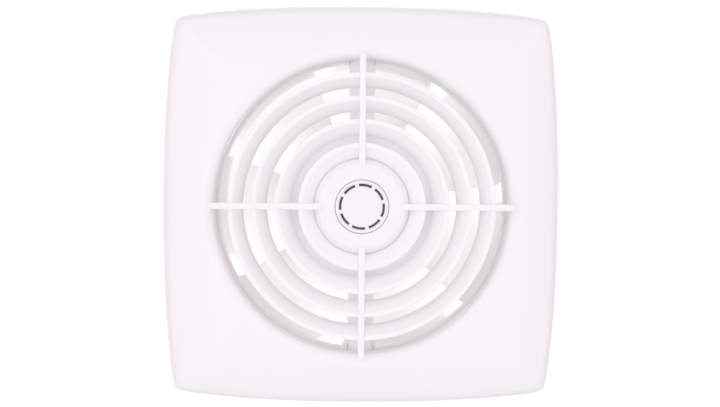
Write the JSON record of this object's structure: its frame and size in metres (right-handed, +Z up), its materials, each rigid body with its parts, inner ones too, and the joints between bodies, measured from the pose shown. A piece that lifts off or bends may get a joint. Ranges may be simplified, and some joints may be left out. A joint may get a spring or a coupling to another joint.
{
  "type": "bathroom extractor fan",
  "caption": "White axial bathroom extractor fan for a round wall duct: bowed square cover with concentric louvre rings, motor, impeller and duct spigot.",
  "frame": {"origin": "where the fan axis meets the wall surface, which is the rear face of the mounting base", "axes": "+Y along the fan axis into the wall and duct, so the cover faces -Y; +Z up; +X to the right seen from the front"},
  "size_m": [0.134, 0.0773, 0.134],
  "materials": {
    "cover_plastic": "glossy white ABS",
    "body_plastic": "satin white ABS",
    "impeller_plastic": "translucent white polypropylene",
    "terminal_plastic": "cream polyamide",
    "bobbin_nylon": "natural nylon",
    "black_rubber": "matt black rubber",
    "grey_rubber": "matt grey rubber",
    "brown_pvc": "brown PVC sleeve",
    "blue_pvc": "blue PVC sleeve",
    "fibre": "pressed fibre",
    "plated_steel": "zinc plated",
    "ground_steel": "ground",
    "laminated_steel": "stamped laminations",
    "cast_aluminium": "as cast",
    "zinc_alloy": "die cast",
    "bronze": "sintered, oil filled",
    "brass": "machined",
    "copper": "enamelled wire"
  },
  "bodies": {
    "housing": {"mounting_base": "body_plastic", "motor_holder": "body_plastic", "motor_holder_lid": "body_plastic", "holder_screw_top": "plated_steel", "holder_screw_bottom": "plated_steel", "stator_core": "laminated_steel", "coil_bobbin_1": "bobbin_nylon", "coil_bobbin_2": "bobbin_nylon", "coil_bobbin_3": "bobbin_nylon", "coil_bobbin_4": "bobbin_nylon", "field_coil_1": "copper", "field_coil_2": "copper", "field_coil_3": "copper", "field_coil_4": "copper", "front_bearing_bridge": "zinc_alloy", "rear_bearing_bridge": "zinc_alloy", "front_bush": "bronze", "rear_bush": "bronze", "front_thrust_washer": "fibre", "rear_thrust_washer": "fibre", "motor_screw_1": "plated_steel", "motor_screw_2": "plated_steel", "terminal_block": "terminal_plastic", "terminal_live": "brass", "terminal_neutral": "brass", "terminal_screw_live": "plated_steel", "terminal_screw_neutral": "plated_steel", "motor_lead_live": "brown_pvc", "motor_lead_neutral": "blue_pvc", "cable_grommet": "grey_rubber", "cord_clamp": "body_plastic", "cord_clamp_screw_1": "plated_steel", "cord_clamp_screw_2": "plated_steel"},
    "rotor": {"impeller": "impeller_plastic", "impeller_clip": "plated_steel", "motor_shaft": "ground_steel", "rotor_core": "laminated_steel", "rotor_end_ring_front": "cast_aluminium", "rotor_end_ring_rear": "cast_aluminium"},
    "cover": {"front_cover": "cover_plastic", "cover_screw": "plated_steel"},
    "cap": {"centre_cap": "cover_plastic", "cap_seal": "black_rubber"}
  },
  "joints": [
    {"name": "impeller_spin", "type": "hinge", "parent": "housing", "child": "rotor", "pos_m": [0, 0, 0], "axis": [0, 1, 0], "continuous": true},
    {"name": "cover_pull", "type": "slide", "parent": "housing", "child": "cover", "axis": [0, -1, 0], "range_m": [0, 0.03]},
    {"name": "cap_pull", "type": "slide", "parent": "cover", "child": "cap", "axis": [0, -1, 0], "range_m": [0, 0.012]}
  ]
}
